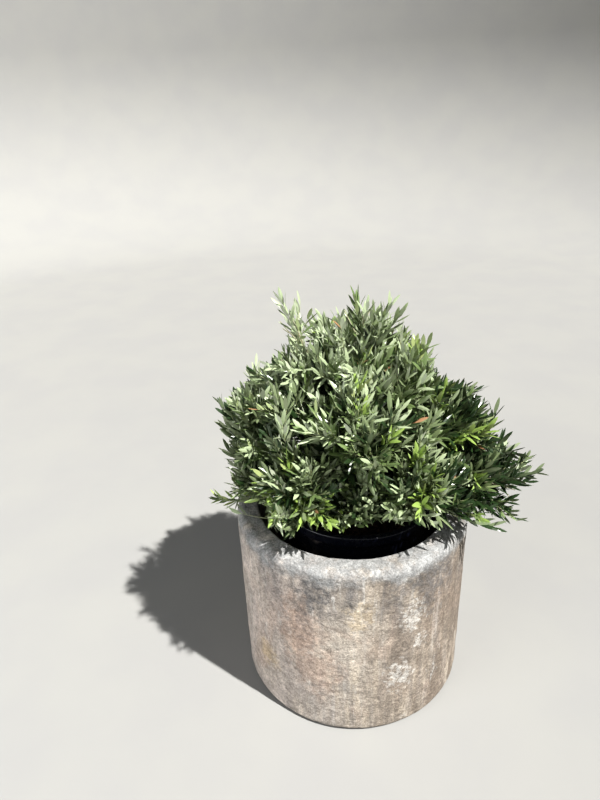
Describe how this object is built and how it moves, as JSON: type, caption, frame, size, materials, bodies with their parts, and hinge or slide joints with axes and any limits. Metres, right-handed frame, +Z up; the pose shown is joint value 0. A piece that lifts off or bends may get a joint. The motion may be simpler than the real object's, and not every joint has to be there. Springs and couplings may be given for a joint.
{
  "type": "potted olive tree",
  "caption": "Bushy olive with a short trunk, boughs and masses of narrow leaves, in a nursery pot inside a thick-walled round cast-stone planter.",
  "frame": {"origin": "centre of the planter's flat underside, on its axis", "axes": "+Z up along the planter's axis, -Y towards the front as seen in the picture, +X to the right"},
  "size_m": [0.7988, 0.6789, 1.0792],
  "materials": {
    "cast_stone": "weathered, pitted and stained",
    "black_plastic": "smooth, slightly glossy",
    "soil": "coarse potting compost",
    "bark": "grey-brown bark",
    "foliage": "grey-green leathery leaves"
  },
  "bodies": {
    "root": {"planter": "cast_stone", "liner_pot": "black_plastic", "soil": "soil", "trunk": "bark", "bough_top_left": "bark", "bough_top": "bark", "bough_top_right": "bark", "bough_top_back": "bark", "bough_upper_front": "bark", "bough_upper_left": "bark", "bough_upper_right": "bark", "bough_back_left": "bark", "bough_back_right": "bark", "bough_left": "bark", "bough_right": "bark", "bough_front_left": "bark", "bough_front_right": "bark", "bough_low_front": "bark", "bough_low_back": "bark", "foliage_top_left": "foliage", "foliage_top": "foliage", "foliage_top_right": "foliage", "foliage_top_back": "foliage", "foliage_upper_front": "foliage", "foliage_upper_left": "foliage", "foliage_upper_right": "foliage", "foliage_back_left": "foliage", "foliage_back_right": "foliage", "foliage_left": "foliage", "foliage_right": "foliage", "foliage_front_left": "foliage", "foliage_front_right": "foliage", "foliage_low_front": "foliage", "foliage_low_back": "foliage"}
  },
  "joints": []
}
